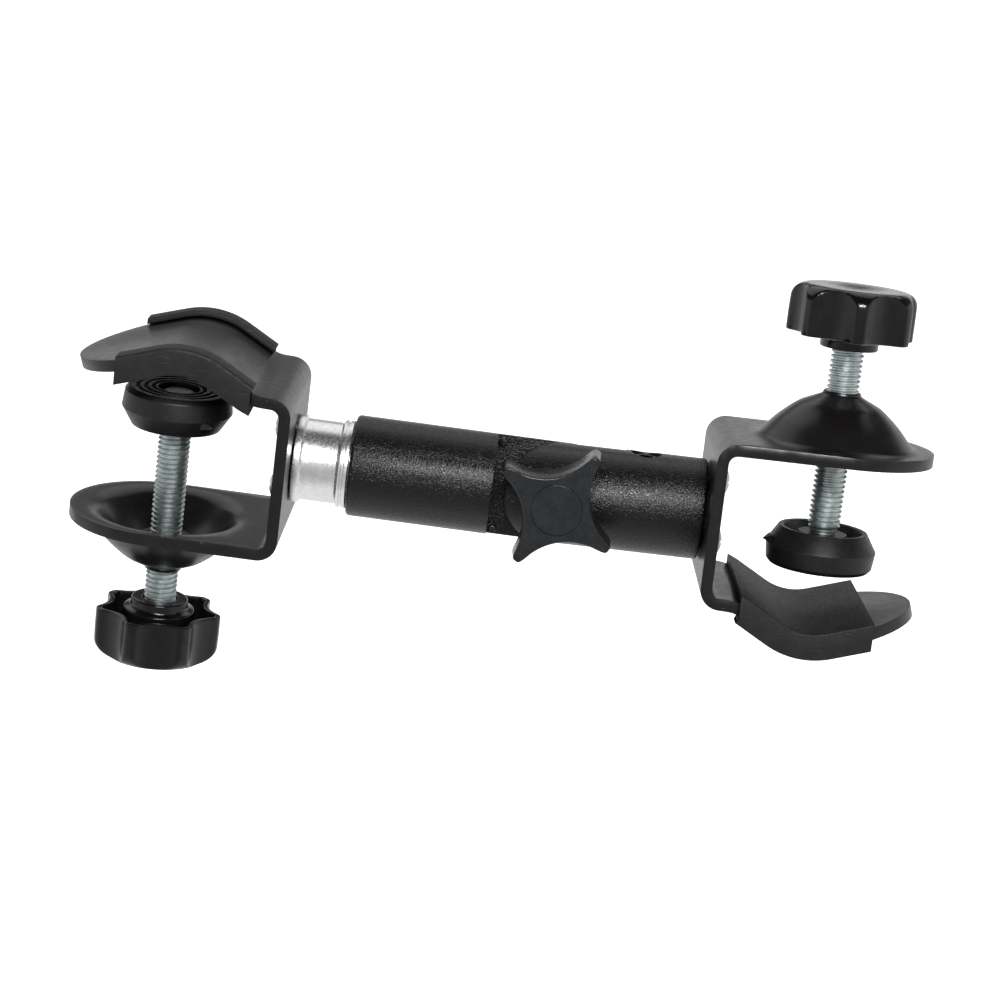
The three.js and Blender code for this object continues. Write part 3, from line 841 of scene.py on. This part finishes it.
def clamp_knob(side, body):
    sides = KNOB_LOBES * 36
    rim = -THREAD_LENGTH - COLLAR_HEIGHT
    end = rim - KNOB_HEIGHT
    flat = KNOB_RADIUS - KNOB_SHOULDER
    half_ridge = KNOB_RIDGE_HALF_WIDTH / KNOB_RADIUS
    outline = eased(scalloped(KNOB_RADIUS, KNOB_RADIUS - KNOB_SCALLOP, half_ridge,
                              KNOB_LOBES, math.radians(KNOB_TURN[side]), sides), 1)
    rings = [[(0, 0, end + KNOB_DISH)]]
    for share in (0.25, 0.45, 0.62, 0.76):
        dish = KNOB_DISH * (1 - (share / 0.8) ** 2) ** 2
        rings.append(ring_of(np.full(sides, flat * share), end + dish))
    for step in range(11):
        angle = math.pi / 2 * step / 10
        puck = flat + KNOB_SHOULDER * math.sin(angle)
        height = end + KNOB_SHOULDER * (1 - math.cos(angle))
        rings.append(ring_of(lowest_of(outline, np.full(sides, puck + 0.12), 0.5), height))
    for height in (rim - 5, rim - 3, rim - 1):
        rings.append(ring_of(outline, height))
    for inset, drop in ((0.0, 0.5), (0.12, 0.15), (0.45, 0.0),
                        (1.05, 0.0), (1.4, 0.12), (1.6, 0.6)):
        rings.append(ring_of(outline - inset, rim - drop))
    for height in (rim - 3, rim - 6.2):
        rings.append(ring_of(outline - 1.75, height))
    rings.append(ring_of(outline - 2.3, rim - 7))
    hub = softened([(9.2, rim - 7), (8.9, rim + 0.1, 0.5), (7.4, rim + 0.5, 0.3),
                    (COLLAR_RADIUS, rim + 1.2), (COLLAR_RADIUS, rim + COLLAR_HEIGHT, 0.5),
                    (4.3, rim + COLLAR_HEIGHT, 0.3), (4.3, end + 3), (0, end + 3)])
    for radius, height in hub:
        rings.append(ring_of(np.full(sides, radius), height) if radius else [(0, 0, height)])
    obj = raw_object(side + "_lobed_knob", skin(rings))
    settle(obj, screw_place(side), body, "glossy_plastic", side + "_clamp_knob", 38)


# ---- foot -------------------------------------------------------------------


def foot(side, body):
    """A foot with grooves round its face, ribs in its hollow back and a spike of moulding flash."""
    grooves = []
    for radius in (10.1, 8.2, 6.3):
        grooves += [(radius + 0.55, FOOT_HEIGHT, 0.12), (radius + 0.4, FOOT_HEIGHT - 0.7),
                    (radius - 0.4, FOOT_HEIGHT - 0.7), (radius - 0.55, FOOT_HEIGHT, 0.12)]
    profile = [(3.3, 2.4), (5.5, 2.4, 0.3), (5.5, 5.5), (8.8, 5.5, 0.5), (9.7, 0.15, 0.2),
               (FOOT_RIM_RADIUS, 0, 0.25), (FOOT_RADIUS, 4.4, 0.3), (FOOT_RADIUS - 0.1, 5.2, 0.3),
               (FOOT_FACE_RADIUS + 0.3, 8.6, 0.5), (FOOT_FACE_RADIUS - 0.6, FOOT_HEIGHT, 0.6),
               *grooves, (5.2, FOOT_HEIGHT, 0.15), (5.2, 7.4), (3.3, 7.4)]
    shell = lathe(profile, 120, closed=True)
    ribs = []
    for i in range(6):
        rib = block((5.0, -0.6, 2.6), (9.8, 0.6, 5.6))
        ribs.append(moved(rib, Matrix.Rotation(math.radians(60 * i + 20), 4, "Z")))
    flash = skin([[(12.2, 0, 3.3)],
                  [(13.0, -1.7, 2.4), (13.0, 1.7, 2.4), (13.1, 1.5, 4.6), (13.1, -1.5, 4.6)],
                  [(15.0, 0.3, 3.7)]])
    flash = moved(flash, Matrix.Rotation(math.radians(FLASH_ANGLE[side]), 4, "Z"))
    obj = raw_object(side + "_swivel_foot", joined(shell, *ribs, flash))
    settle(obj, screw_place(side), body, "foot_plastic", side + "_foot", 34)


# ---- the arm ----------------------------------------------------------------


def neck_spool():
    start = LEFT_WEB + FIT_GAP
    end = LEFT_BARREL_END - FIT_GAP
    groove = NECK_RADIUS + 0.35
    profile = [(0, start), (FLANGE_RADIUS, start, 0.25), (FLANGE_RADIUS, start + 1.7, 0.25),
               (NECK_RADIUS, start + 2.1, 0.3), (NECK_RADIUS, -54.1, 0.4),
               (FLANGE_RADIUS - 0.1, -53.6, 0.25), (FLANGE_RADIUS, -53.0, 0.2),
               (groove, -52.8, 0.1), (groove, -52.5, 0.1),
               (FLANGE_RADIUS, -52.3, 0.2), (FLANGE_RADIUS, end, 0.2),
               (JOURNAL_RADIUS, end), (JOURNAL_RADIUS, JOURNAL_END), (0, JOURNAL_END)]
    obj = raw_object("turned_neck", lathe(profile, 128))
    x, z = screw_axes("left")
    turn = placing(PIVOT, -x, z) @ ALONG_X
    settle(obj, turn, "left_clamp", "turned_aluminium", "neck_spool", 40)


def lap_barrel(name, end):
    """A barrel along +X from the pivot, whose half-lap keeps the +Y side."""
    reach = BARREL_RADIUS + 2
    bar = lathe([(0, -reach), (BARREL_RADIUS, -reach), (BARREL_RADIUS, end, 0.9), (0, end)], 144)
    obj = raw_object(name, moved(bar, ALONG_X))
    far = 3 * BARREL_RADIUS
    side = [(0, -BARREL_RADIUS), (end + far, -BARREL_RADIUS), (end + far, BARREL_RADIUS),
            (0, BARREL_RADIUS)]
    side += [(BARREL_RADIUS * math.cos(a), BARREL_RADIUS * math.sin(a))
             for a in np.linspace(math.pi / 2, 3 * math.pi / 2, 62)[1:-1]]
    rings = [[(x, y, z) for x, z in side] for y in (-far, far)]
    verts, faces = skin(rings)
    faces += [list(range(len(side))), list(range(len(side), 2 * len(side)))]
    cut(obj, (verts, faces), "INTERSECT")
    cut(obj, block((-far, -far, -far), (STEP, FIT_GAP / 2, far)))
    return obj


def plug(radius, low, high, sides=64):
    """A plain cylinder about Z, to cut a hole with."""
    return lathe([(0, low), (radius, low), (radius, high), (0, high)], sides)


def nibs(obj):
    """Two small studs on the step's face, near the barrel's top and bottom."""
    along, height = NIB_AT
    nib = lathe([(0, -2), (1.1, -2), (1.1, 2, 0.35), (0, 2)], 32)
    for z in (height, -height):
        place = Matrix.Translation((along, 0.2, z)) @ ALONG_MINUS_Y
        merge(obj, raw_object("nib", moved(nib, place)))


def left_barrel():
    """The elbow's far half, bored for the spool's journal, a grub screw and the bolt's head."""
    obj = lap_barrel("left_lap_barrel", -LEFT_BARREL_END)
    grub_screw = Matrix.Translation((GRUB_SCREW_AT, 0, 0)) @ ALONG_MINUS_Y
    cut(obj, moved(plug(JOURNAL_BORE, 30, 60, 96), ALONG_X))
    cut(obj, moved(plug(GRUB_SCREW_HOLE, -30, -6, 40), grub_screw))
    cut(obj, moved(plug(BOLT_HEAD_RADIUS, -20, -7.5, 6), ALONG_MINUS_Y))
    bevelled(obj, 0.3, 2, 40)
    nibs(obj)
    obj.data.transform(Matrix.Rotation(math.pi, 4, "Y"))
    settle(obj, ARM, "middle", "grained_paint", "left_barrel", 45)


def right_barrel():
    """The near half of the elbow, with the set screw's hole."""
    obj = lap_barrel("right_lap_barrel", RIGHT_BARREL_END)
    cut(obj, moved(plug(SET_SCREW_HOLE, -20, -4), Matrix.Translation((SET_SCREW_AT, 0, 0))))
    bevelled(obj, 0.3, 2, 40)
    nibs(obj)
    obj.data.transform(Matrix.Rotation(math.pi, 4, "X"))
    settle(obj, RIGHT_ARM, "right_arm", "grained_paint", "right_barrel", 45)


def elbow_knob():
    sides = 4 * 72
    half_tip = math.asin(ELBOW_TIP_WIDTH / 2 / ELBOW_TIP_RADIUS)
    outline = eased(scalloped(ELBOW_TIP_RADIUS, ELBOW_DIP_RADIUS, half_tip, 4,
                              math.radians(ELBOW_LOBE_ANGLE), sides), 1)
    slope = (np.roll(outline, -1) - np.roll(outline, 1)) / (4 * math.pi / sides)
    lean = np.minimum(np.sqrt(1 + (slope / outline) ** 2), 2.2)
    back, front = -ELBOW_KNOB_BACK, -ELBOW_KNOB_FRONT
    rings = [[(0, 0, back)], ring_of(np.full(sides, 5.0), back)]
    for inset, rise in ((0.5, 0.0), (0.15, 0.15), (0.0, 0.5)):
        rings.append(ring_of(outline + ELBOW_DRAFT - inset * lean, back + rise))
    for inset, drop in ((0.0, 0.7), (0.06, 0.35), (0.2, 0.12), (0.42, 0.0), (0.6, 0.0)):
        rings.append(ring_of(outline - ELBOW_DRAFT - inset * lean, front - drop))
    rim = outline - ELBOW_DRAFT - 0.6 * lean
    inner = np.full(sides, CAP_RADIUS + 0.5)
    for blend in (0.25, 0.55, 0.8):
        rings.append(ring_of(rim * (1 - blend) + inner * blend, front))
    seat = softened([(CAP_RADIUS + 0.25, front - 0.02, 0.1), (CAP_RADIUS + 0.15, front - 0.5),
                     (0, front - 0.5)], 3)
    for radius, height in seat:
        rings.append(ring_of(np.full(sides, radius), height) if radius else [(0, 0, height)])
    obj = raw_object("elbow_cross_knob", skin(rings))
    settle(obj, ARM @ ALONG_MINUS_Y, "elbow_knob", "knob_plastic", "elbow_knob", 38)
    face = front - 0.05
    cap = lathe([(0, front - 2.6), (CAP_RADIUS, front - 2.6), (CAP_RADIUS, face, 0.12),
                 (CAP_RADIUS - 0.3, face), (CAP_RADIUS - 0.8, face), (0, face)])
    disc = raw_object("elbow_cap_disc", cap)
    settle(disc, ARM @ ALONG_MINUS_Y, "elbow_knob", "knob_plastic", "elbow_knob_cap", 38)


def web_screws(side, body):
    under = STRIP_THICK + 0.05
    for name, height in (("upper", WEB_SCREW_PITCH / 2), ("lower", -WEB_SCREW_PITCH / 2)):
        head = lathe([(0, -3), (2.4, -3), (2.4, under), (4, under, 0.2), (4, under + 1.5, 0.9),
                      (1.5, under + 2.6, 3.0), (0, under + 2.7)], 56)
        obj = raw_object(f"{side}_pan_screw_{name}", head)
        cut(obj, block((-0.5, -2.1, under + 1.2), (0.5, 2.1, under + 5)))
        cut(obj, block((-2.1, -0.5, under + 1.2), (2.1, 0.5, under + 5)))
        bevelled(obj, 0.12, 2, 50)
        place = clamp_place(side) @ Matrix.Translation((0, 0, height)) @ ALONG_X
        settle(obj, place, body, "zinc_steel", f"{side}_web_screw_{name}", 40)


def kept_nodes():
    """Small CAD nodes whose shapes are right get their finish."""
    for name, finish in KEPT_NODES.items():
        dress(frame["nodes"][name].data, finish, MM)


def build():
    for side, body in (("left", "left_clamp"), ("right", "right_arm")):
        bracket(side, body)
        bush(side, body)
        jaw_pad(side, body)
        web_screws(side, body)
        screw(side, side + "_screw")
        clamp_knob(side, side + "_screw")
        foot(side, side + "_foot")
    neck_spool()
    left_barrel()
    right_barrel()
    elbow_knob()
    kept_nodes()


# ---- studio -----------------------------------------------------------------


def backdrop():
    """A pale floor that curves up into a wall all round, at even brightness."""
    level = cad_box[0][2] - FLOOR_DROP
    profile = [(0, 0), (FLOOR_RADIUS, 0, FLOOR_FILLET), (FLOOR_RADIUS + WALL_LEAN, WALL_TOP)]
    verts, faces = lathe(profile, 96, steps=16)
    mesh = bpy.data.meshes.new("backdrop")
    mesh.from_pydata(verts, [], faces[::-1])
    mesh.transform(Matrix.Translation((0, 0, level)))
    mesh.shade_smooth()
    obj = bpy.data.objects.new("backdrop", mesh)
    bpy.context.scene.collection.objects.link(obj)
    pale = bpy.data.materials.new("pale_backdrop")
    pale.use_nodes = True
    shader = pale.node_tree.nodes["Principled BSDF"]
    shader.inputs["Base Color"].default_value = (0.9, 0.9, 0.9, 1)
    shader.inputs["Roughness"].default_value = 0.9
    shader.inputs["Specular IOR Level"].default_value = 0.1
    shader.inputs["Emission Color"].default_value = (1, 1, 1, 1)
    shader.inputs["Emission Strength"].default_value = 1.0
    mesh.materials.append(pale)
    obj.visible_diffuse = False
    obj.visible_glossy = False
    obj.visible_shadow = False


def softbox(name, at, aim, size, brightness):
    """A rectangular lamp whose face has the given brightness, unseen by the camera."""
    light = bpy.data.lights.new(name, "AREA")
    light.shape = "RECTANGLE"
    light.size, light.size_y = size
    light.energy = brightness * math.pi * size[0] * size[1]
    obj = bpy.data.objects.new(name, light)
    bpy.context.scene.collection.objects.link(obj)
    obj.location = at
    obj.rotation_euler = (Vector(aim) - Vector(at)).to_track_quat("-Z", "Y").to_euler()
    obj.visible_camera = False


def studio():
    """A room, white up to a low level and dark above, dimmer at the front, with two lamps."""
    world = bpy.data.worlds.new("studio")
    bpy.context.scene.world = world
    world.use_nodes = True
    tree = world.node_tree
    tree.nodes["Background"].inputs["Color"].default_value = (1, 1, 1, 1)
    direction = tree.nodes.new("ShaderNodeTexCoord")
    parts = tree.nodes.new("ShaderNodeSeparateXYZ")
    tree.links.new(direction.outputs["Generated"], parts.inputs[0])

    def falling(source, limits):
        """A smooth change over (start, end) from one value to another."""
        made = tree.nodes.new("ShaderNodeMapRange")
        made.interpolation_type = "SMOOTHSTEP"
        for socket, value in zip(("From Min", "From Max", "To Min", "To Max"), limits):
            made.inputs[socket].default_value = value
        tree.links.new(parts.outputs[source], made.inputs["Value"])
        return made.outputs["Result"]

    both = tree.nodes.new("ShaderNodeMath")
    both.operation = "MULTIPLY"
    tree.links.new(falling("Z", (0.24, 0.36, 0.85, 0.05)), both.inputs[0])
    tree.links.new(falling("Y", (-0.85, -0.25, 0.5, 1.0)), both.inputs[1])
    tree.links.new(both.outputs[0], tree.nodes["Background"].inputs["Strength"])
    softbox("overhead", (0, 0.85, 1.0), (0, 0.85, 0), (1.9, 1.4), 0.95)
    softbox("front", (0.15, -0.83, 0.46), (0, 0, 0), (0.42, 0.16), 46)


def camera():
    at = ARM @ Vector(CAMERA_AT)
    forward = (ARM @ Vector(CAMERA_AIM) - at).normalized()
    upright = (ARM.to_3x3() @ Vector((0, 0, 1))).normalized()
    right = forward.cross(upright).normalized()
    up = right.cross(forward)
    turn = Matrix((right, up, -forward)).transposed()
    turn = turn @ Matrix.Rotation(math.radians(CAMERA_ROLL), 3, "Z")
    lens = bpy.data.cameras.new("camera")
    lens.lens = CAMERA_LENS
    lens.sensor_width = 36
    lens.clip_start = 0.01
    lens.clip_end = 60
    obj = bpy.data.objects.new("camera", lens)
    bpy.context.scene.collection.objects.link(obj)
    obj.matrix_world = Matrix.Translation(at) @ turn.to_4x4()
    bpy.context.scene.camera = obj


build()
backdrop()
studio()
camera()
bpy.context.scene.view_settings.view_transform = "Standard"
